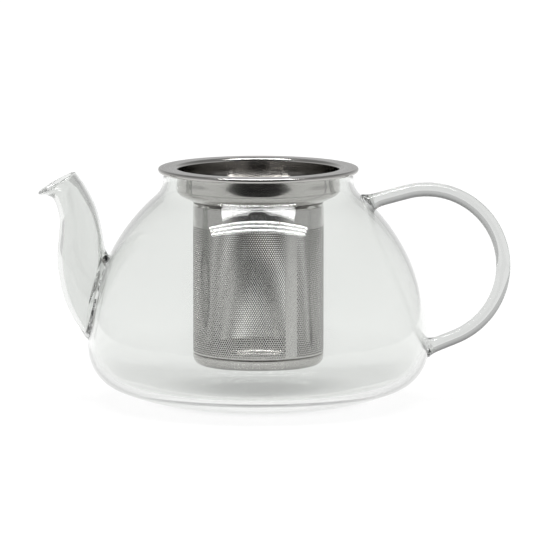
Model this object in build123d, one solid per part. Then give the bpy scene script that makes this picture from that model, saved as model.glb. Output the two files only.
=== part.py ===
from build123d import *

import os
from math import cos, radians, sin, sqrt

# A clear glass teapot with a lift-out steel infuser. Millimetres, +Z up. The origin is the centre
# of the foot, on the table. The spout points to -X and the handle to +X.
# The glass is three pieces, welded in the flame: a blown bowl, a drawn spout and a bent rod.
# The infuser is four pieces of stainless sheet: a pressed collar, a rolled perforated screen,
# a pressed base ring and a perforated bottom disc.

# ---- Glass bowl ----
belly_radius = 75.5  # the widest radius of the bowl
belly_band = 2.4  # straight wall between the corner and the dome
foot_radius = 31.0  # the flat that stands on the table
sweep_radius = 84.0  # shallow arc from the foot to the corner
corner_radius = 18.8  # tighter arc from there up to the belly
dome_radius = 86.0  # the one arc of the dome
shoulder_radius = 10.0  # hollow arc between the dome and the neck
neck_radius = 42.0
neck_length = 4.4  # straight neck above the shoulder
glass_wall = 2.2
foot_wall = 3.0  # the blown glass is thicker under the foot

# ---- Spout ----
spout_wall = 1.9
spout_rise = 22.7  # from the foot of the dome up to the middle station of the spout's root
# Each station across the spout: distance out from the belly, height above the root's middle
# station, lean of the section in degrees, and outer diameter. The first lies inside the bowl.
spout_stations = [
    (-12.0, -10.6, 66.0, 31.5),
    (-6.8, -6.7, 55.0, 29.6),
    (-2.1, 0.0, 40.0, 27.0),
    (0.8, 7.3, 20.0, 24.0),
    (2.9, 16.7, 4.0, 21.3),
    (3.2, 25.6, 4.0, 19.2),
    (4.4, 35.0, 14.0, 16.8),
    (7.7, 43.2, 27.0, 15.0),
    (10.0, 46.0, 28.0, 15.6),
    (13.8, 48.6, 29.0, 19.0),
]
pour_hole_radius = 7.0
pour_hole_rise = 23.5  # above the foot of the dome

# ---- Handle ----
rod_diameter = 6.3
grip_radius = 34.2  # of the rod's centre line
grip_inset = 1.2  # from the belly's radius in to the centre of the grip's arc
grip_rise = 33.7  # from the foot of the dome up to that centre
arm_slope = 15.0  # of the straight upper arm, degrees above horizontal, going out
leg_slope = 22.0  # of the straight lower leg
weld_spread = 0.5  # by how much the rod's radius has grown where it is welded on
weld_length = 3.5  # along the rod

# ---- Infuser ----
seat_gap = 0.1  # between the flange and the glass rim
collar_sheet = 0.5
collar_bore_radius = 35.7
hem_overhang = 2.4  # of the flange past the neck
hem_height = 2.2
hem_return = 1.0  # from the hem's middle in to its folded end
hem_bend = 0.8  # this and the bends below are to the middle of the sheet
flange_bend = 1.25
collar_depth = 16.4  # from the flange's top to the foot of the cone
cone_drop = 5.0
cone_bend = 4.0
sleeve_bend = 1.2
sleeve_length = 4.0
screen_radius = 28.9
screen_sheet = 0.4
screen_gap = 0.2  # between the screen's ends and the pieces above and below it
basket_depth = 87.6  # from the flange's top to the underside of the base
base_sheet = 0.5
base_height = 5.4  # of the base ring below the screen
base_corner = 3.4
base_lip = 6.9  # how far the base ring's floor reaches in
base_sleeve_length = 2.0

# ---- Worked out from the sizes above ----
spout_side = -1  # X direction of the spout
sweep_reach = belly_radius - corner_radius - foot_radius
corner_height = sweep_radius - sqrt((sweep_radius - corner_radius) ** 2 - sweep_reach**2)
belly_height = corner_height + belly_band  # the foot of the dome
dome_centre = Vector(belly_radius - dome_radius, belly_height)
shoulder_height = belly_height + sqrt(
    (dome_radius + shoulder_radius) ** 2 - (neck_radius + shoulder_radius - dome_centre.X) ** 2
)
rim_height = shoulder_height + neck_length
flange_top = rim_height + seat_gap + collar_sheet
basket_bottom = flange_top - basket_depth
screen_bore = screen_radius - screen_sheet


def arc(centre, start, end):
    """The shorter arc from start to end about centre."""
    middle = ((start - centre) + (end - centre)).normalized() * (start - centre).length
    return ThreePointArc(start, centre + middle, end)


def bowl_outline(inset, floor):
    """Edges of one surface of the bowl, from the axis to the neck's top, set in from the outside."""
    lift = floor - inset
    sweep_centre = Vector(foot_radius, lift + sweep_radius)
    corner_centre = Vector(belly_radius - corner_radius, lift + corner_height)
    sweep_end = (
        sweep_centre + (corner_centre - sweep_centre).normalized() * (sweep_radius - inset)
    )
    corner_end = Vector(belly_radius - inset, corner_centre.Y)
    belly_top = Vector(belly_radius - inset, belly_height)
    shoulder_centre = Vector(neck_radius + shoulder_radius, shoulder_height)
    dome_end = (
        dome_centre + (shoulder_centre - dome_centre).normalized() * (dome_radius - inset)
    )
    neck_foot = Vector(neck_radius - inset, shoulder_height)
    foot_edge = Vector(foot_radius, floor)
    rim_edge = Vector(neck_radius - inset, rim_height - glass_wall / 2)
    return [
        Line(Vector(0, floor), foot_edge),
        arc(sweep_centre, foot_edge, sweep_end),
        arc(corner_centre, sweep_end, corner_end),
        Line(corner_end, belly_top),
        arc(dome_centre, belly_top, dome_end),
        arc(shoulder_centre, dome_end, neck_foot),
        Line(neck_foot, rim_edge),
    ]


def turned(edges):
    """A solid of revolution about Z from a closed section drawn as radius and height."""
    section = Plane.XZ * make_face(edges)
    return revolve(section, Axis.Z, 360)


def bowl_envelope():
    """Everything inside the bowl's outer surface, up to the rim's rounding."""
    outside = bowl_outline(0, 0)
    top = outside[-1] @ 1
    return turned([*outside, Line(top, Vector(0, top.Y)), Line(Vector(0, top.Y), Vector(0, 0))])


def pot_body():
    """The blown bowl: an even wall, a thicker foot, a fire-rounded rim and the pouring hole."""
    outside = bowl_outline(0, 0)
    inside = bowl_outline(glass_wall, foot_wall)
    rim = ThreePointArc(
        outside[-1] @ 1, Vector(neck_radius - glass_wall / 2, rim_height), inside[-1] @ 1
    )
    axis_line = Line(Vector(0, 0), Vector(0, foot_wall))
    bowl = turned([*outside, rim, *inside, axis_line])
    drill = Pos(spout_side * belly_radius, 0, belly_height + pour_hole_rise) * Rot(0, 90, 0)
    return bowl - drill * Cylinder(pour_hole_radius, belly_radius)


def spout_tube(shrink):
    """The spout's surface, or its bore when shrunk by the wall: a loft through round sections."""
    sections = []
    for out, up, lean, diameter in spout_stations:
        place = Pos(spout_side * (belly_radius + out), 0, belly_height + spout_rise + up)
        sections.append(place * Rot(0, spout_side * lean, 0) * Circle(diameter / 2 - shrink))
    return loft(sections)


def spout():
    """The drawn spout: a curved tapering tube, cut at its root to lie on the bowl."""
    return spout_tube(0) - bowl_envelope() - spout_tube(spout_wall)


def reach_of(start, direction, centre, radius):
    """How far from start, along direction, the circle about centre is met."""
    away = start - centre
    lead = -away.dot(direction)
    return lead - sqrt(lead**2 - away.dot(away) + radius**2)


def weld_foot(end, inward):
    """A cone on the end of the rod, where the hot glass has spread onto the bowl."""
    rod_radius = rod_diameter / 2
    section = Plane(origin=end - inward * weld_length, z_dir=inward)
    near = section * Circle(rod_radius)
    far = section.offset(2 * weld_length) * Circle(rod_radius + 2 * weld_spread)
    return loft([near, far])


def handle():
    """The bent rod: a straight arm out of the dome, an arc, and a straight leg in to the belly."""
    centre = Vector(belly_radius - grip_inset, belly_height + grip_rise)
    sweep_angle = 180 + arm_slope - leg_slope
    grip = CenterArc(centre, grip_radius, leg_slope - 90, sweep_angle)
    arm_inward = Vector(-cos(radians(arm_slope)), -sin(radians(arm_slope)))
    leg_inward = Vector(-cos(radians(leg_slope)), -sin(radians(leg_slope)))
    arm_reach = reach_of(grip @ 1, arm_inward, dome_centre, dome_radius)
    leg_reach = ((grip @ 0).X - belly_radius) / cos(radians(leg_slope))
    arm_end = (grip @ 1) + arm_inward * arm_reach
    leg_end = (grip @ 0) + leg_inward * leg_reach
    arm = Line(grip @ 1, arm_end + arm_inward * weld_length)
    leg = Line(leg_end + leg_inward * weld_length, grip @ 0)
    path = Plane.XZ * Wire([leg, grip, arm])
    rod = sweep(Plane(path @ 0, z_dir=path % 0) * Circle(rod_diameter / 2), path=path)
    arm_foot = weld_foot(Vector(arm_end.X, 0, arm_end.Y), Vector(arm_inward.X, 0, arm_inward.Y))
    leg_foot = weld_foot(Vector(leg_end.X, 0, leg_end.Y), Vector(leg_inward.X, 0, leg_inward.Y))
    return rod + arm_foot + leg_foot - bowl_envelope()


def pressed(points, radii, thickness):
    """A turned piece of sheet whose middle surface follows the points, rounded at each corner."""
    middle = FilletPolyline(*points, radius=radii)
    section = Plane.XZ * trace(middle, line_width=thickness)
    return revolve(section, Axis.Z, 360)


def infuser_collar():
    """The pressed collar: a hemmed flat flange, a straight wall, a cone and a short sleeve."""
    half = collar_sheet / 2
    hem_edge = neck_radius + hem_overhang - half
    flat = flange_top - half
    hem_floor = flange_top - hem_height + half
    wall = collar_bore_radius + half
    cone_foot = flange_top - collar_depth
    sleeve = screen_bore - half
    points = [
        (hem_edge - hem_return, hem_floor),
        (hem_edge, hem_floor),
        (hem_edge, flat),
        (wall, flat),
        (wall, cone_foot + cone_drop),
        (sleeve, cone_foot),
        (sleeve, cone_foot - sleeve_length),
    ]
    return pressed(points, [hem_bend, hem_bend, flange_bend, cone_bend, sleeve_bend], collar_sheet)


def infuser_screen():
    """The rolled screen: a plain tube here, standing for the sheet with its fine holes."""
    bottom = basket_bottom + base_height + screen_gap
    top = flange_top - collar_depth - sleeve_bend / 2 - screen_gap
    tube = Cylinder(screen_radius, top - bottom) - Cylinder(screen_bore, top - bottom)
    return Pos(0, 0, (top + bottom) / 2) * tube


def base_ring():
    """The pressed ring that closes the basket: a sleeve inside the screen, a wall flush with the
    screen, a rounded corner and a flat lip for the bottom disc."""
    half = base_sheet / 2
    sleeve = screen_bore - half
    wall = screen_radius - half
    joggle = wall - sleeve
    screen_foot = basket_bottom + base_height
    points = [
        (sleeve, screen_foot + base_sleeve_length),
        (sleeve, screen_foot),
        (wall, screen_foot - joggle),
        (wall, basket_bottom + half),
        (screen_radius - base_lip, basket_bottom + half),
    ]
    return pressed(points, [joggle, joggle, base_corner], base_sheet)


def bottom_screen():
    """The perforated disc that lies on the base ring's lip, standing plain like the screen."""
    disc_radius = screen_radius - base_sheet / 2 - base_corner
    return Pos(0, 0, basket_bottom + base_sheet + screen_sheet / 2) * Cylinder(
        disc_radius, screen_sheet
    )


pieces = {
    "pot_body": pot_body,
    "spout": spout,
    "handle": handle,
    "infuser_collar": infuser_collar,
    "infuser_screen": infuser_screen,
    "infuser_base_ring": base_ring,
    "infuser_bottom_screen": bottom_screen,
}

os.makedirs("parts", exist_ok=True)
for name, make in pieces.items():
    export_step(make(), f"parts/{name}.step")
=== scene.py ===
# %% [markdown]
# # A clear glass teapot with a lift-out steel infuser
# This lesson dresses a finished CAD model for a studio picture. The CAD model already knows every
# size and every joint, so we load it first and measure it, and build finer pieces in its place.
# Glass and polished steel show every facet, so all the pieces are spun or drawn afresh here.

# %% Load the frame
import math

import bmesh
import bpy
from mathutils import Matrix, Vector


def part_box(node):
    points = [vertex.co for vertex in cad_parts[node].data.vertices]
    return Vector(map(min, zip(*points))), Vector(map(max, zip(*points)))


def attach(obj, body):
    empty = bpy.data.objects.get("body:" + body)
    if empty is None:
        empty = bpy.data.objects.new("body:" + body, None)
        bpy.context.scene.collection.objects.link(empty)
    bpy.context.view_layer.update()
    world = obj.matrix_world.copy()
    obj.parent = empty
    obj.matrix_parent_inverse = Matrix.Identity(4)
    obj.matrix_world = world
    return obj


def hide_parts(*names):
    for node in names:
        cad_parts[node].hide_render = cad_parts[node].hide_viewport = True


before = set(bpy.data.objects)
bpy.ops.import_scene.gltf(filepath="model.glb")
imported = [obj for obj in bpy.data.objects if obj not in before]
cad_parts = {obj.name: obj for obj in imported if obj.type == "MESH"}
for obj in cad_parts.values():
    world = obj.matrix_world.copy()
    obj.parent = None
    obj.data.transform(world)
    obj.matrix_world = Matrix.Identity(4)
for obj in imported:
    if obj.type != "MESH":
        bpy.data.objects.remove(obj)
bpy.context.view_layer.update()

mm = 0.001
merge_distance = 0.002 * mm

# %% [markdown]
# ## Sizes
# What the frame can tell us we measure from it: the widest radius, the rim, the screen. The radii
# of the glass's arcs can't be read off a box, so they are written here, in millimetres.

# %% Sizes measured from the frame
bowl_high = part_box("pot_body")[1]
collar_low, collar_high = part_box("infuser_collar")
screen_low, screen_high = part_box("infuser_screen")
ring_low, ring_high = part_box("infuser_base_ring")
belly_radius = bowl_high.y
rim_height = bowl_high.z
flange_radius = collar_high.y
flange_top = collar_high.z
screen_radius = screen_high.y
basket_bottom = ring_low.z
print("bowl", round(2 * belly_radius, 4), "m wide,", round(rim_height, 4), "m to the rim")

# %% Sizes of the glass
foot_radius = 31.0 * mm
foot_wall = 3.0 * mm
glass_wall = 2.2 * mm
sweep_radius = 84.0 * mm
corner_radius = 18.8 * mm
belly_band = 2.4 * mm
dome_radius = 86.0 * mm
shoulder_radius = 10.0 * mm
neck_radius = 42.0 * mm

sweep_reach = belly_radius - corner_radius - foot_radius
corner_height = sweep_radius - math.sqrt((sweep_radius - corner_radius) ** 2 - sweep_reach ** 2)
belly_height = corner_height + belly_band
dome_centre = Vector((belly_radius - dome_radius, 0, belly_height))
shoulder_x = neck_radius + shoulder_radius
shoulder_rise = math.sqrt((dome_radius + shoulder_radius) ** 2 - (shoulder_x - dome_centre.x) ** 2)
shoulder_centre = Vector((shoulder_x, 0, belly_height + shoulder_rise))
print("the dome starts at", round(belly_height, 4), "and the neck at", round(shoulder_centre.z, 4))

# %% [markdown]
# ## Helpers
# A lathe turns a line into a vessel, so most of the pieces start as a line drawn in the XZ plane.
# The line grows from one vertex: `run_to` extrudes it straight, and `bend` spins it about a centre.

# %% Draw a line
def run_to(bm, vert, x, z):
    """Extrudes the line's end straight to a new place."""
    new = bmesh.ops.extrude_vert_indiv(bm, verts=[vert])["verts"][0]
    new.co = (x, 0, z)
    return new


def bend(bm, vert, centre, degrees, step=2.0):
    """Spins the line's end about a centre. Positive turns from +X towards +Z."""
    steps = max(2, math.ceil(abs(degrees) / step))
    spun = bmesh.ops.spin(bm, geom=[vert], cent=centre, axis=(0, -1, 0),
                          angle=math.radians(degrees), steps=steps)
    return next(part for part in spun["geom_last"] if isinstance(part, bmesh.types.BMVert))


def rounded_line(bm, points, radii):
    """Runs through the points, with each corner between them rounded to its radius."""
    points = [Vector((x, 0, z)) for x, z in points]
    vert = bm.verts.new(points[0])
    for before, corner, after, radius in zip(points, points[1:], points[2:], radii):
        back = (before - corner).normalized()
        ahead = (after - corner).normalized()
        turn = math.pi - back.angle(ahead)
        start = corner + back * radius * math.tan(turn / 2)
        centre = corner + (back + ahead).normalized() * radius / math.cos(turn / 2)
        side = -1 if back.cross(ahead).y < 0 else 1
        vert = run_to(bm, vert, start.x, start.z)
        vert = bend(bm, vert, centre, side * math.degrees(turn), step=9)
    return run_to(bm, vert, points[-1].x, points[-1].z)


# %% [markdown]
# A full turn of the line about Z makes the vessel. `use_merge` closes the turn, and the poles on
# the axis are merged afterwards. Then the normals are recalculated, because a spin can come out
# inside out.

# %% Turn a line on the lathe
def lathe(bm, steps=288):
    bmesh.ops.spin(bm, geom=bm.verts[:] + bm.edges[:], cent=(0, 0, 0), axis=(0, 0, 1),
                   angle=math.tau, steps=steps, use_merge=True)
    bmesh.ops.remove_doubles(bm, verts=bm.verts[:], dist=merge_distance)
    bmesh.ops.recalc_face_normals(bm, faces=bm.faces[:])


def extrude_ring(bm, edges):
    """Extrudes a run of edges where it lies, and returns the new vertices and edges."""
    grown = bmesh.ops.extrude_edge_only(bm, edges=edges)["geom"]
    verts = [part for part in grown if isinstance(part, bmesh.types.BMVert)]
    edges = [part for part in grown if isinstance(part, bmesh.types.BMEdge)
             and all(end in verts for end in part.verts)]
    return verts, edges


def make_object(name, bm):
    mesh = bpy.data.meshes.new(name)
    bm.to_mesh(mesh)
    bm.free()
    made = bpy.data.objects.new(name, mesh)
    bpy.context.scene.collection.objects.link(made)
    return made


# %% [markdown]
# Modifiers give sheet its thickness and cut one glass piece with another. `settle` turns what they
# made into the object's own mesh, smooths it, and keeps real edges sharp.

# %% Apply modifiers and set the shading
def settle(made, sharp_degrees=35.0):
    graph = bpy.context.evaluated_depsgraph_get()
    mesh = bpy.data.meshes.new_from_object(made.evaluated_get(graph), depsgraph=graph)
    made.modifiers.clear()
    made.data = mesh
    mesh.shade_smooth()
    mesh.set_sharp_from_angle(angle=math.radians(sharp_degrees))
    triangles = sum(len(face.vertices) - 2 for face in mesh.polygons)
    print(made.name, "has", triangles, "triangles")
    return made


def thicken(made, thickness, bent=True):
    solid = made.modifiers.new("sheet", "SOLIDIFY")
    solid.thickness = thickness
    solid.offset = 0
    solid.use_even_offset = bent
    return made


def combine(made, other, operation):
    """Joins another piece to this one, or cuts it away, and throws the other piece away."""
    step = made.modifiers.new("combine", "BOOLEAN")
    step.operation = operation
    step.solver = "MANIFOLD"
    step.material_mode = "TRANSFER"
    step.object = other
    settle(made)
    bpy.data.objects.remove(other)
    return made


# %% [markdown]
# ## Clear glass
# Borosilicate glass bends light by 1.47 and is almost colourless. What we see of it is its
# surroundings, bent and mirrored. Flame-worked glass is never quite even, so a broad, very weak
# bump makes the reflections swim a little. A faint grey-green tint colours the light that passes
# through, more in the spout and most in the solid rod than in the thin bowl.

# %% Glass material
def new_material(name):
    material = bpy.data.materials.new(name)
    material.use_nodes = True
    tree = material.node_tree
    return material, tree, tree.nodes["Principled BSDF"]


def link(tree, source, output, target, socket):
    tree.links.new(source.outputs[output], target.inputs[socket])


glass_ior = 1.47


def glass_material(name, tint):
    material, tree, shader = new_material(name)
    shader.inputs["Base Color"].default_value = (*tint, 1)
    shader.inputs["Roughness"].default_value = 0.0
    shader.inputs["IOR"].default_value = glass_ior
    shader.inputs["Transmission Weight"].default_value = 1.0
    place = tree.nodes.new("ShaderNodeTexCoord")
    waves = tree.nodes.new("ShaderNodeTexNoise")
    waves.inputs["Scale"].default_value = 38.0
    waves.inputs["Detail"].default_value = 1.0
    bump = tree.nodes.new("ShaderNodeBump")
    bump.inputs["Strength"].default_value = 0.02
    bump.inputs["Distance"].default_value = 0.4 * mm
    link(tree, place, "Object", waves, "Vector")
    link(tree, waves, "Fac", bump, "Height")
    link(tree, bump, "Normal", shader, "Normal")
    return material


blown_glass = glass_material("blown_glass", (0.895, 0.905, 0.893))
drawn_glass = glass_material("drawn_glass", (0.845, 0.855, 0.843))
rod_glass = glass_material("rod_glass", (0.70, 0.71, 0.70))
print("glass bends light by", glass_ior)

# %% [markdown]
# ## Stainless steel
# The collar is spun on a lathe and polished, so its fine lines run round it. A noise that is
# squeezed along the radius and the height, and hardly changes round the axis, draws those lines.
# The flange is brushed more coarsely than the wall, so the roughness is read from the same lines.

# %% Steel material
def lathe_lines(tree, place, along_radius, along_height, around):
    """Coordinates that change fast across the lathe's lines and slowly along them."""
    split = tree.nodes.new("ShaderNodeSeparateXYZ")
    radius = tree.nodes.new("ShaderNodeVectorMath")
    radius.operation = "LENGTH"
    flat = tree.nodes.new("ShaderNodeVectorMath")
    flat.operation = "MULTIPLY"
    flat.inputs[1].default_value = (1, 1, 0)
    angle = tree.nodes.new("ShaderNodeMath")
    angle.operation = "ARCTAN2"
    joined = tree.nodes.new("ShaderNodeCombineXYZ")
    stretch = tree.nodes.new("ShaderNodeVectorMath")
    stretch.operation = "MULTIPLY"
    stretch.inputs[1].default_value = (along_radius, along_height, around)
    link(tree, place, "Object", split, "Vector")
    link(tree, place, "Object", flat, 0)
    tree.links.new(flat.outputs["Vector"], radius.inputs[0])
    tree.links.new(split.outputs["Y"], angle.inputs[0])
    tree.links.new(split.outputs["X"], angle.inputs[1])
    tree.links.new(radius.outputs["Value"], joined.inputs["X"])
    tree.links.new(split.outputs["Z"], joined.inputs["Y"])
    tree.links.new(angle.outputs["Value"], joined.inputs["Z"])
    tree.links.new(joined.outputs["Vector"], stretch.inputs[0])
    return stretch


def steel_material(name, colour, smooth, rough, satin_from, depth):
    """Stainless steel, satin above a height and polished below it, with lathe lines in both."""
    material, tree, shader = new_material(name)
    shader.inputs["Metallic"].default_value = 1.0
    shader.inputs["Base Color"].default_value = (*colour, 1)
    place = tree.nodes.new("ShaderNodeTexCoord")
    lines = lathe_lines(tree, place, 2600.0, 2600.0, 1.6)
    grain = tree.nodes.new("ShaderNodeTexNoise")
    grain.inputs["Scale"].default_value = 1.0
    grain.inputs["Detail"].default_value = 3.0
    split = tree.nodes.new("ShaderNodeSeparateXYZ")
    satin = tree.nodes.new("ShaderNodeMapRange")
    satin.inputs["From Min"].default_value = satin_from - 0.3 * mm
    satin.inputs["From Max"].default_value = satin_from + 0.3 * mm
    satin.inputs["To Min"].default_value = smooth
    satin.inputs["To Max"].default_value = rough
    spread = tree.nodes.new("ShaderNodeMapRange")
    spread.inputs["From Min"].default_value = 0.3
    spread.inputs["From Max"].default_value = 0.7
    spread.inputs["To Min"].default_value = 0.75
    spread.inputs["To Max"].default_value = 1.25
    roughness = tree.nodes.new("ShaderNodeMath")
    roughness.operation = "MULTIPLY"
    bump = tree.nodes.new("ShaderNodeBump")
    bump.inputs["Strength"].default_value = depth
    bump.inputs["Distance"].default_value = 0.02 * mm
    tree.links.new(lines.outputs["Vector"], grain.inputs["Vector"])
    link(tree, place, "Object", split, "Vector")
    link(tree, split, "Z", satin, "Value")
    link(tree, grain, "Fac", spread, "Value")
    tree.links.new(satin.outputs["Result"], roughness.inputs[0])
    tree.links.new(spread.outputs["Result"], roughness.inputs[1])
    link(tree, roughness, "Value", shader, "Roughness")
    link(tree, grain, "Fac", bump, "Height")
    link(tree, bump, "Normal", shader, "Normal")
    return material


satin_height = flange_top - 0.6 * mm
spun_steel = steel_material("spun_steel", (0.48, 0.47, 0.455), 0.07, 0.24, satin_height, 0.12)
etched_steel = steel_material("etched_steel", (0.59, 0.58, 0.57), 0.16, 0.16, flange_top, 0.05)
print("steels:", spun_steel.name, etched_steel.name)

# %% [markdown]
# ## The blown bowl
# Both faces of the bowl are one line: up the outside, over the fire-rounded rim, and down the
# inside. The inner face keeps its distance from the outer one, except under the foot, where the
# glass is thicker. Turning the line once gives a closed wall that light can enter and leave.

# %% Draw the bowl's outside
def angle_between(centre, other):
    across = other - centre
    return math.degrees(math.atan2(across.z, across.x))


def draw_outside(bm, inset, floor):
    """Draws one face of the bowl from the axis up to the foot of the neck."""
    lift = floor - inset
    sweep_centre = Vector((foot_radius, 0, lift + sweep_radius))
    corner_centre = Vector((belly_radius - corner_radius, 0, lift + corner_height))
    corner_angle = angle_between(sweep_centre, corner_centre)
    shoulder_angle = angle_between(dome_centre, shoulder_centre)
    vert = bm.verts.new((0, 0, floor))
    vert = run_to(bm, vert, foot_radius, floor)
    vert = bend(bm, vert, sweep_centre, corner_angle + 90)
    vert = bend(bm, vert, corner_centre, -corner_angle, step=3)
    vert = run_to(bm, vert, belly_radius - inset, belly_height)
    vert = bend(bm, vert, dome_centre, shoulder_angle)
    return bend(bm, vert, shoulder_centre, -shoulder_angle, step=4)


def bowl_envelope(inset):
    """A solid of everything inside the bowl's outer face, or a little less."""
    bm = bmesh.new()
    vert = draw_outside(bm, inset, inset)
    vert = run_to(bm, vert, neck_radius - inset, rim_height)
    run_to(bm, vert, 0, rim_height)
    lathe(bm)
    return make_object("bowl_envelope", bm)


# %% Build the bowl
def build_bowl():
    bm = bmesh.new()
    vert = draw_outside(bm, 0, 0)
    rim_centre = Vector((neck_radius - glass_wall / 2, 0, rim_height - glass_wall / 2))
    vert = run_to(bm, vert, neck_radius, rim_centre.z)
    outer_end = bend(bm, vert, rim_centre, 180, step=15)
    inner_end = draw_outside(bm, glass_wall, foot_wall)
    bm.edges.new((outer_end, inner_end))
    lathe(bm)
    return make_object("glass_bowl", bm)


glass_bowl = build_bowl()

# %% [markdown]
# Where the spout is welded on, the bowl has a pouring hole. It is drilled with a Boolean, from the
# axis outwards, so that only the spout's side is cut.

# %% Drill the pouring hole
spout_side = -1
pour_hole_radius = 7.0 * mm
pour_hole_height = belly_height + 23.5 * mm


def pouring_drill():
    bm = bmesh.new()
    bmesh.ops.create_cone(bm, cap_ends=True, segments=72, radius1=pour_hole_radius,
                          radius2=pour_hole_radius, depth=belly_radius)
    bmesh.ops.rotate(bm, verts=bm.verts[:], matrix=Matrix.Rotation(math.radians(90), 3, "Y"))
    bmesh.ops.translate(bm, verts=bm.verts[:], vec=(spout_side * belly_radius, 0, pour_hole_height))
    return make_object("pouring_drill", bm)


combine(glass_bowl, pouring_drill(), "DIFFERENCE")

# %% [markdown]
# ## Welded joints
# Hot glass spreads where a spout or a rod touches the bowl, so the joint flares like a trumpet.
# `clearance` says how far a point stands off the bowl, and `flare` pushes the points of a tube out
# from its own centre, most at the bowl and hardly at all a few millimetres away.

# %% Flare a tube onto the bowl
def clearance(point):
    """Distance outwards from the bowl's outer face."""
    out = math.hypot(point.x, point.y)
    if point.z < belly_height:
        return out - belly_radius
    return math.hypot(out - dome_centre.x, point.z - dome_centre.z) - dome_radius


def flare(verts, centre, spread, length):
    for vert in verts:
        stand_off = max(clearance(vert.co), 0.0)
        outward = (vert.co - centre).normalized()
        vert.co += outward * spread * math.exp(-(stand_off / length) ** 1.5)


# %% [markdown]
# ## The drawn spout
# The spout is a tube whose size, lean and place change along its length. We know them at ten
# stations. A smooth curve through the stations gives as many rings between them as we want, and
# each ring is an extrusion of the last, moved to its own place. The tube goes up the outside,
# turns over in a rounded lip, and comes back down the inside.

# %% Stations of the spout
spout_wall = 1.9 * mm
spout_base = belly_height + 22.7 * mm
# Distance out from the belly and height above the root, in millimetres, lean in degrees, and
# outer diameter in millimetres. The first stations lie inside the bowl and are cut off.
spout_stations = [
    (-12.0, -10.6, 66.0, 31.5),
    (-6.8, -6.7, 55.0, 29.6),
    (-2.1, 0.0, 40.0, 27.0),
    (0.8, 7.3, 20.0, 24.0),
    (2.9, 16.7, 4.0, 21.3),
    (3.2, 25.6, 4.0, 19.2),
    (4.4, 35.0, 14.0, 16.8),
    (7.7, 43.2, 27.0, 15.0),
    (10.0, 46.0, 28.0, 15.6),
    (13.4, 47.8, 29.0, 19.0),
]


def between_stations(position):
    """Values at a place along the spout, on a smooth curve through the stations."""
    first = min(int(position), len(spout_stations) - 2)
    part = position - first
    last = len(spout_stations) - 1
    corners = [spout_stations[min(max(first + k, 0), last)] for k in (-1, 0, 1, 2)]
    values = []
    for before, start, end, after in zip(*corners):
        values.append(0.5 * (2 * start + (end - before) * part
                             + (2 * before - 5 * start + 4 * end - after) * part ** 2
                             + (3 * start - before - 3 * end + after) * part ** 3))
    return values


def ring_place(position):
    """Matrix of a ring of radius 1, and the ring's own radius."""
    out, up, lean, diameter = between_stations(position)
    centre = Vector((spout_side * (belly_radius + out * mm), 0, spout_base + up * mm))
    turned = Matrix.Rotation(math.radians(spout_side * lean), 4, "Y")
    return Matrix.Translation(centre) @ turned, diameter * mm / 2


# %% Build the spout
spout_rings_per_station = 8
lip_steps = 6


def spout_rings():
    """Place and radius of each ring, up the outside, over the lip and down the inside."""
    last = len(spout_stations) - 1
    count = last * spout_rings_per_station
    outside = [ring_place(last * k / count) for k in range(count + 1)]
    rings = list(outside)
    place, radius = outside[-1]
    for k in range(1, lip_steps):
        turn = math.pi * k / lip_steps
        rise = Matrix.Translation((0, 0, spout_wall / 2 * math.sin(turn)))
        rings.append((place @ rise, radius - spout_wall / 2 * (1 - math.cos(turn))))
    for place, radius in reversed(outside):
        rings.append((place, radius - spout_wall))
    return rings, len(outside)


def build_spout():
    bm = bmesh.new()
    rings, outside_count = spout_rings()
    place, radius = rings[0]
    ring = bmesh.ops.create_circle(bm, segments=96, radius=1.0)["verts"]
    edges = bm.edges[:]
    root = list(edges)
    bmesh.ops.transform(bm, matrix=place @ Matrix.Scale(radius, 4), verts=ring)
    made = [ring]
    for start, end in zip(rings, rings[1:]):
        before = start[0] @ Matrix.Scale(start[1], 4)
        after = end[0] @ Matrix.Scale(end[1], 4)
        ring, edges = extrude_ring(bm, edges)
        bmesh.ops.transform(bm, matrix=after @ before.inverted(), verts=ring)
        made.append(ring)
    bmesh.ops.bridge_loops(bm, edges=root + edges)
    for (place, radius), ring in zip(rings[:outside_count], made):
        flare(ring, place.translation, 1.0 * mm, 2.6 * mm)
    bmesh.ops.recalc_face_normals(bm, faces=bm.faces[:])
    return make_object("glass_spout", bm)


weld_depth = glass_wall / 2
glass_spout = combine(build_spout(), bowl_envelope(weld_depth), "DIFFERENCE")

# %% [markdown]
# ## The bent handle
# A straight rod is bent over a flame: a straight leg out of the belly, an arc for the hand, and a
# straight arm into the dome. A circle is extruded for the straight parts and spun for the arc.

# %% Sizes of the handle
rod_radius = 6.3 * mm / 2
grip_radius = 34.2 * mm
grip_centre = Vector((belly_radius - 1.2 * mm, 0, belly_height + 33.7 * mm))
arm_slope = math.radians(15.0)
leg_slope = math.radians(22.0)
arm_length = 24 * mm
leg_length = 18 * mm
weld_reach = 8 * mm


# %% Build the handle
def grow(bm, edges, shift, rings):
    """Extrudes a ring of edges along a straight run, ring by ring."""
    for _ in range(rings):
        ring, edges = extrude_ring(bm, edges)
        bmesh.ops.translate(bm, vec=shift / rings, verts=ring)
    return edges


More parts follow.
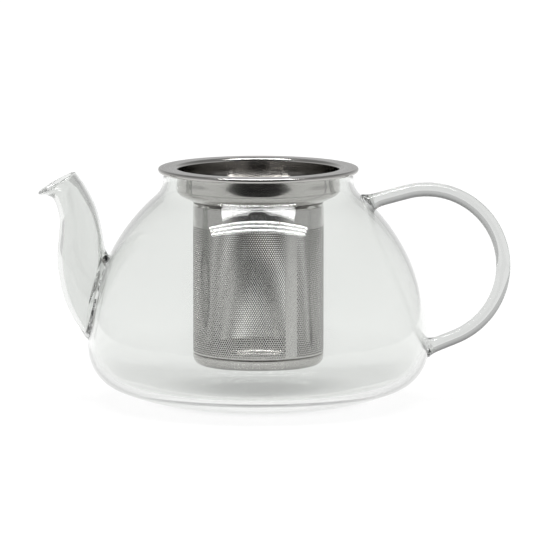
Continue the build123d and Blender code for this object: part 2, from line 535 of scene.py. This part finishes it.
def build_handle():
    bm = bmesh.new()
    leg_way = Vector((-math.cos(leg_slope), 0, -math.sin(leg_slope)))
    arm_way = Vector((-math.cos(arm_slope), 0, -math.sin(arm_slope)))
    leg_start = grip_centre + grip_radius * Vector((math.sin(leg_slope), 0, -math.cos(leg_slope)))
    arm_start = grip_centre + grip_radius * Vector((-math.sin(arm_slope), 0, math.cos(arm_slope)))
    bmesh.ops.create_circle(bm, segments=40, radius=rod_radius)
    turned = leg_way.to_track_quat("Z", "Y").to_matrix().to_4x4()
    bmesh.ops.transform(bm, matrix=Matrix.Translation(leg_start) @ turned, verts=bm.verts[:])
    ring = bm.edges[:]
    leg_end = grow(bm, ring, leg_way * leg_length, 40)
    spun = bmesh.ops.spin(bm, geom=ring, cent=grip_centre, axis=(0, -1, 0),
                          angle=math.pi + arm_slope - leg_slope, steps=90)
    arc_end = [part for part in spun["geom_last"] if isinstance(part, bmesh.types.BMEdge)]
    arm_end = grow(bm, arc_end, arm_way * arm_length, 50)
    bmesh.ops.contextual_create(bm, geom=leg_end)
    bmesh.ops.contextual_create(bm, geom=arm_end)
    bmesh.ops.remove_doubles(bm, verts=bm.verts[:], dist=merge_distance)
    for vert in bm.verts:
        upper = vert.co.z > grip_centre.z
        start, way = (arm_start, arm_way) if upper else (leg_start, leg_way)
        if clearance(vert.co) < weld_reach:
            flare([vert], start + way * (vert.co - start).dot(way), 0.9 * mm, 1.8 * mm)
    bmesh.ops.recalc_face_normals(bm, faces=bm.faces[:])
    return make_object("glass_handle", bm)


glass_handle = combine(build_handle(), bowl_envelope(weld_depth), "DIFFERENCE")

# %% [markdown]
# Welding melts the three into one body of glass. Left apart, their faces inside the joints would
# mirror light where the real pot has none, so a Boolean union takes those faces away.

# %% Weld the glass together
glass_pot = glass_bowl
glass_pot.name = "glass_pot"
glasses = {glass_pot: blown_glass, glass_spout: drawn_glass, glass_handle: rod_glass}
for piece, glass in glasses.items():
    piece.data.materials.clear()
    piece.data.materials.append(glass)
combine(glass_pot, glass_spout, "UNION")
combine(glass_pot, glass_handle, "UNION")

# %% [markdown]
# ## The pressed collar
# The collar is one sheet of steel: a hem folded under, a flat flange, a straight wall, a cone and
# a short sleeve. We draw the sheet's middle line, turn it, and let Solidify give it thickness.

# %% Build the collar
collar_sheet = 0.5 * mm
half_sheet = collar_sheet / 2
hem_edge = flange_radius - half_sheet
hem_floor = flange_top - 2.2 * mm + half_sheet
collar_wall = 35.7 * mm + half_sheet
cone_foot = flange_top - 16.4 * mm
sleeve_radius = screen_radius - 0.4 * mm - half_sheet


def build_sheet(name, points, radii, thickness):
    bm = bmesh.new()
    rounded_line(bm, points, radii)
    lathe(bm)
    return settle(thicken(make_object(name, bm), thickness))


steel_collar = build_sheet(
    "steel_collar",
    [
        (hem_edge - 1.0 * mm, hem_floor),
        (hem_edge, hem_floor),
        (hem_edge, flange_top - half_sheet),
        (collar_wall, flange_top - half_sheet),
        (collar_wall, cone_foot + 5.0 * mm),
        (sleeve_radius, cone_foot),
        (sleeve_radius, collar_low.z),
    ],
    [0.8 * mm, 0.8 * mm, 1.25 * mm, 4.0 * mm, 1.2 * mm],
    collar_sheet,
)

# %% [markdown]
# ## The base ring
# The ring that closes the basket is drawn in the same way: a sleeve inside the screen, a small
# step out, a wall flush with the screen, a round corner, and a lip that carries the bottom disc.

# %% Build the base ring
ring_step = 0.4 * mm
ring_wall = screen_radius - half_sheet
ring_shoulder = basket_bottom + 5.4 * mm

steel_base_ring = build_sheet(
    "steel_base_ring",
    [
        (sleeve_radius, ring_high.z),
        (sleeve_radius, ring_shoulder),
        (ring_wall, ring_shoulder - ring_step),
        (ring_wall, basket_bottom + half_sheet),
        (screen_radius - 6.9 * mm, basket_bottom + half_sheet),
    ],
    [ring_step, ring_step, 3.4 * mm],
    collar_sheet,
)

# %% [markdown]
# ## The etched screen
# The screen has about ten thousand holes in staggered rows. Each hole is the middle of a six-sided
# cell, and such cells fill a plane. One pair of cells, half a pitch apart, is repeated by two
# Array modifiers. The flat sheet gets its plain margins, and is then rolled round the basket.

# %% One cell of etched sheet
columns_per_half = 84
rows = 62
plain_strip = 5.3 * mm
screen_sheet = 0.4 * mm
rolled_radius = screen_radius - screen_sheet / 2
girth = math.tau * rolled_radius
pitch = (girth - plain_strip) / (2 * columns_per_half + 0.5)
cell_radius = pitch / math.sqrt(3)
row_rise = cell_radius * 1.5
hole_share = 0.60


def etched_cell(bm, x, z):
    """A six-sided cell, point up, with its middle etched away."""
    made = bmesh.ops.create_circle(bm, cap_ends=True, segments=6, radius=cell_radius)
    bmesh.ops.rotate(bm, verts=made["verts"], matrix=Matrix.Rotation(math.radians(90), 3, "X"))
    bmesh.ops.translate(bm, verts=made["verts"], vec=(x, 0, z))
    cell = made["verts"][0].link_faces[0]
    width = cell_radius * (1 - hole_share) * math.cos(math.radians(30))
    bmesh.ops.inset_individual(bm, faces=[cell], thickness=width)
    bmesh.ops.delete(bm, geom=[cell], context="FACES")


def etched_sheet(name, across, up):
    """A flat sheet of cells in the XZ plane, its lowest left hole half a pitch from the origin."""
    bm = bmesh.new()
    etched_cell(bm, pitch / 2, 0)
    etched_cell(bm, pitch, row_rise)
    sheet = make_object(name, bm)
    for count, step in ((across, (pitch, 0, 0)), (up, (0, 0, 2 * row_rise))):
        array = sheet.modifiers.new("array", "ARRAY")
        array.count = count
        array.use_relative_offset = False
        array.use_constant_offset = True
        array.constant_offset_displace = step
    grown = bmesh.new()
    grown.from_object(sheet, bpy.context.evaluated_depsgraph_get())
    bmesh.ops.remove_doubles(grown, verts=grown.verts[:], dist=pitch * 0.02)
    bpy.data.objects.remove(sheet)
    return grown


# %% [markdown]
# The sheet's edges are ragged, because the rows are staggered. Straightening an edge and then
# extruding it gives the plain margins, with no gap between them and the cells.

# %% Plain margins
def straighten_and_grow(bm, axis, level, reach, steps=1):
    """Moves the boundary near a level onto it, and extrudes it to the end of the plain margin."""
    near = 0.8 * pitch
    edges = [edge for edge in bm.edges if edge.is_boundary
             and all(abs(end.co[axis] - level) < near for end in edge.verts)]
    edges = [edge for edge in edges if outer_edge(edge)]
    for vert in {end for edge in edges for end in edge.verts}:
        vert.co[axis] = level
    for _ in range(steps):
        verts, edges = extrude_ring(bm, edges)
        shift = Vector((0, 0, 0))
        shift[axis] = reach / steps
        bmesh.ops.translate(bm, vec=shift, verts=verts)


def outer_edge(edge):
    """True for an edge of the sheet itself, and not of a hole, which has only six edges."""
    start, vert, last = edge.verts[0], edge.verts[1], edge
    for step in range(6):
        onward = [other for other in vert.link_edges if other.is_boundary and other is not last]
        if not onward:
            return True
        last = onward[0]
        vert = last.other_vert(vert)
        if vert is start:
            return False
    return True


# %% Roll the sheet and give it thickness
def roll(bm, start_angle):
    """Rolls the flat sheet round the Z axis. X runs round the basket."""
    for vert in bm.verts:
        turned = start_angle + vert.co.x / rolled_radius
        vert.co.x = rolled_radius * math.sin(turned)
        vert.co.y = -rolled_radius * math.cos(turned)
    bmesh.ops.recalc_face_normals(bm, faces=bm.faces[:])


strip_angle = math.radians(30.2)
pattern_start = strip_angle + plain_strip / 2 / rolled_radius
half_turn = columns_per_half * pitch / rolled_radius
pattern_low = screen_low.z + 1.0 * mm
print("hole pitch", round(pitch / mm, 3), "mm,", 4 * columns_per_half * rows // 2, "holes")


def build_screen(name, start_angle, with_start, with_strip):
    bm = etched_sheet(name + "_flat", columns_per_half, rows // 2)
    bmesh.ops.translate(bm, verts=bm.verts[:], vec=(0, 0, pattern_low))
    low = min(vert.co.z for vert in bm.verts)
    high = max(vert.co.z for vert in bm.verts)
    wide = max(vert.co.x for vert in bm.verts)
    if with_start:
        straighten_and_grow(bm, 0, 0.0, -0.01 * mm)
    if with_strip:
        straighten_and_grow(bm, 0, wide, plain_strip, steps=5)
    straighten_and_grow(bm, 2, low, screen_low.z - low)
    straighten_and_grow(bm, 2, high, screen_high.z - high, steps=3)
    roll(bm, start_angle)
    return settle(thicken(make_object(name, bm), screen_sheet, bent=False))


screen_first_half = build_screen("screen_first_half", pattern_start, True, False)
screen_second_half = build_screen("screen_second_half", pattern_start + half_turn, False, True)

# %% [markdown]
# ## The bottom disc
# The same etched sheet closes the bottom. Cells too near the edge are dropped, and the ragged hole
# they leave is bridged to a round rim.

# %% Build the bottom disc
disc_low, disc_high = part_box("infuser_bottom_screen")
disc_radius = disc_high.y
etched_radius = disc_radius - 2.0 * mm


def build_bottom_disc():
    across = math.ceil(2 * etched_radius / pitch)
    up = math.ceil(etched_radius / row_rise)
    bm = etched_sheet("disc_flat", across, up)
    centre = Vector((across * pitch / 2, 0, up * row_rise))
    bmesh.ops.translate(bm, verts=bm.verts[:], vec=-centre)
    outside = [face for face in bm.faces if any(v.co.length > etched_radius for v in face.verts)]
    bmesh.ops.delete(bm, geom=outside, context="FACES")
    edges = [edge for edge in bm.edges if edge.is_boundary and outer_edge(edge)]
    made = bmesh.ops.create_circle(bm, segments=120, radius=disc_radius)
    bmesh.ops.rotate(bm, verts=made["verts"], matrix=Matrix.Rotation(math.radians(90), 3, "X"))
    rim = list({edge for vert in made["verts"] for edge in vert.link_edges})
    bmesh.ops.triangle_fill(bm, use_beauty=True, edges=edges + rim)
    bmesh.ops.rotate(bm, verts=bm.verts[:], matrix=Matrix.Rotation(math.radians(90), 3, "X"))
    bmesh.ops.translate(bm, verts=bm.verts[:], vec=(0, 0, (disc_low.z + disc_high.z) / 2))
    bmesh.ops.recalc_face_normals(bm, faces=bm.faces[:])
    disc = thicken(make_object("screen_bottom_disc", bm), disc_high.z - disc_low.z, bent=False)
    return settle(disc)


screen_bottom_disc = build_bottom_disc()

# %% [markdown]
# ## Give each piece its finish, its place in the frame and its body
# Every piece stands for the CAD nodes it was built from: the welded glass for three, and the two
# halves of the screen together for one. A piece takes its nodes' finish and rides on their body,
# so the whole infuser lifts out when its joint moves.

# %% Finish the pieces
dressed = [
    (glass_pot, ("pot_body", "spout", "handle"), "pot", "clear_glass"),
    (steel_collar, ("infuser_collar",), "infuser", "polished_steel"),
    (steel_base_ring, ("infuser_base_ring",), "infuser", "polished_steel"),
    (screen_first_half, ("infuser_screen",), "infuser", "screen_steel"),
    (screen_second_half, ("infuser_screen",), "infuser", "screen_steel"),
    (screen_bottom_disc, ("infuser_bottom_screen",), "infuser", "screen_steel"),
]
finishes = {"polished_steel": spun_steel, "screen_steel": etched_steel}
for piece, nodes, body, slot_name in dressed:
    if slot_name in finishes:
        piece.data.materials.append(finishes[slot_name])
    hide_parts(*nodes)
    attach(piece, body)
print(len(dressed), "pieces dressed")

# %% [markdown]
# ## Studio
# The pot stands on a white table so large that its back and sides are never seen. Its front edge
# is just out of the picture. Beyond it the studio is dark, and polished steel mirrors that dark
# front between the bright sides. The table glows, as a translucent one lit from below does, so
# the shadows under clear glass stay soft. The glow is dimmer in a spot under the basket, to deepen
# the shadow there, and again a little dimmer near the pot than far away, where less lamp light
# falls.

# %% Table
table_half_width = 0.5
table_half_depth = 3.0
table_front = 0.35
glow_fades = ((0.1, 1.0, 0.93), (0.008, 0.052, 0.45))


def build_table():
    bm = bmesh.new()
    bmesh.ops.create_grid(bm, x_segments=1, y_segments=1, size=1.0)
    bmesh.ops.scale(bm, verts=bm.verts[:], vec=(table_half_width, table_half_depth, 1.0))
    middle = (0, table_half_depth - table_front, -0.15 * mm)
    bmesh.ops.translate(bm, verts=bm.verts[:], vec=middle)
    table = make_object("white_table", bm)
    material, tree, shader = new_material("white_table")
    shader.inputs["Base Color"].default_value = (0.13, 0.13, 0.129, 1)
    shader.inputs["Roughness"].default_value = 0.9
    shader.inputs["Specular IOR Level"].default_value = 0.1
    shader.inputs["Emission Color"].default_value = (1, 1, 1, 1)
    place = tree.nodes.new("ShaderNodeTexCoord")
    away = tree.nodes.new("ShaderNodeVectorMath")
    away.operation = "LENGTH"
    link(tree, place, "Object", away, 0)
    product = tree.nodes.new("ShaderNodeMath")
    product.operation = "MULTIPLY"
    for number, (start, end, from_value) in enumerate(glow_fades):
        glow = tree.nodes.new("ShaderNodeMapRange")
        glow.interpolation_type = "SMOOTHSTEP"
        glow.inputs["From Min"].default_value = start
        glow.inputs["From Max"].default_value = end
        glow.inputs["To Min"].default_value = from_value
        glow.inputs["To Max"].default_value = 1.0
        link(tree, away, "Value", glow, "Value")
        link(tree, glow, "Result", product, number)
    link(tree, product, "Value", shader, "Emission Strength")
    table.data.materials.append(material)
    print("table", 2 * table_half_width, "by", 2 * table_half_depth, "m")


build_table()

# %% [markdown]
# The room is grey at the back near the horizon. It darkens upwards, and towards the camera.
# Polished steel needs those dark sides to look like metal, and clear glass needs them to show its
# edges.

# %% Room light
def fade(tree, split, axis, start, end, from_value, to_value):
    """A value that changes smoothly along one axis of the sky."""
    ramp = tree.nodes.new("ShaderNodeMapRange")
    ramp.interpolation_type = "SMOOTHSTEP"
    ramp.inputs["From Min"].default_value = start
    ramp.inputs["From Max"].default_value = end
    ramp.inputs["To Min"].default_value = from_value
    ramp.inputs["To Max"].default_value = to_value
    link(tree, split, axis, ramp, "Value")
    return ramp


def build_room():
    world = bpy.data.worlds.new("studio_room")
    bpy.context.scene.world = world
    world.use_nodes = True
    tree = world.node_tree
    background = tree.nodes["Background"]
    place = tree.nodes.new("ShaderNodeTexCoord")
    split = tree.nodes.new("ShaderNodeSeparateXYZ")
    link(tree, place, "Generated", split, "Vector")
    depth = fade(tree, split, "Y", -0.93, -0.45, 0.03, 1.0)
    height = fade(tree, split, "Z", 0.0, 0.7, 0.70, 0.25)
    both = tree.nodes.new("ShaderNodeMath")
    both.operation = "MULTIPLY"
    tree.links.new(depth.outputs["Result"], both.inputs[0])
    tree.links.new(height.outputs["Result"], both.inputs[1])
    link(tree, both, "Value", background, "Strength")
    background.inputs["Color"].default_value = (1, 1, 1, 1)
    print("room light:", world.name)


build_room()

# %% [markdown]
# Three long tubes hang above the pot and a little in front of it, and bend round it at both ends.
# They draw three bright arcs on the front of the basket. A short panel right above the pot shines
# under the collar.

# %% Lamps
lamp_height = 1.08
tube_radiance = 32
panel_radiance = 10


def hanging_lamp(name, x, y, length, width, radiance, turn=0.0):
    """A flat lamp that faces straight down."""
    data = bpy.data.lights.new(name, "AREA")
    data.shape = "RECTANGLE"
    data.size = length
    data.size_y = width
    data.energy = radiance * math.pi * length * width
    lamp = bpy.data.objects.new(name, data)
    bpy.context.scene.collection.objects.link(lamp)
    lamp.location = (x, y, lamp_height)
    lamp.rotation_euler = (0, 0, turn)
    lamp.visible_camera = False


tube_width = 0.022
tube_reach = 0.54
tube_bend = 0.30
tube_parts = 6
part_run = 2 * tube_reach / tube_parts
for number, forward in enumerate((0.205, 0.259, 0.314)):
    for part in range(tube_parts):
        start = part * part_run - tube_reach
        end = start + part_run
        swing = tube_bend * (end ** 2 - start ** 2)
        y = tube_bend * (start ** 2 + end ** 2) / 2 - forward
        length = math.hypot(part_run, swing)
        turn = math.atan2(swing, part_run)
        hanging_lamp(f"tube_{number}_{part}", (start + end) / 2, y, length, tube_width,
                     tube_radiance, turn)
hanging_lamp("panel", 0, -0.012, 0.75, 0.125, panel_radiance)
print(len(bpy.data.lights), "lamps hang at", lamp_height, "m")

# %% [markdown]
# ## Camera
# A long lens far from the pot keeps its proportions true. It looks down by a few degrees, enough
# to open the flange to an ellipse.

# %% Camera
camera_elevation = math.radians(7.73)
camera_distance = 2.66
view_width = 0.2361
camera_aim = Vector((3.6 * mm, 0, 60.0 * mm))


def build_camera():
    data = bpy.data.cameras.new("camera")
    data.sensor_width = 36.0
    data.lens = data.sensor_width * camera_distance / view_width
    data.clip_start = 0.1
    data.clip_end = 60.0
    camera = bpy.data.objects.new("camera", data)
    bpy.context.scene.collection.objects.link(camera)
    back = Vector((0, -math.cos(camera_elevation), math.sin(camera_elevation)))
    camera.location = camera_aim + back * camera_distance
    camera.rotation_mode = "QUATERNION"
    camera.rotation_quaternion = (-back).to_track_quat("-Z", "Y")
    bpy.context.scene.camera = camera
    print("camera lens", round(data.lens, 1), "mm")


build_camera()

# %% [markdown]
# Light crosses up to a dozen glass faces on its way through the pot, and inside a weld it is
# mirrored dozens of times before it comes out. Stopped early, it leaves the welds and foot black.

# %% Light paths and finish
scene = bpy.context.scene
scene.view_settings.view_transform = "Standard"
most_bounces = 128
scene.cycles.max_bounces = most_bounces
scene.cycles.transmission_bounces = most_bounces
scene.cycles.glossy_bounces = most_bounces
scene.cycles.transparent_max_bounces = 16
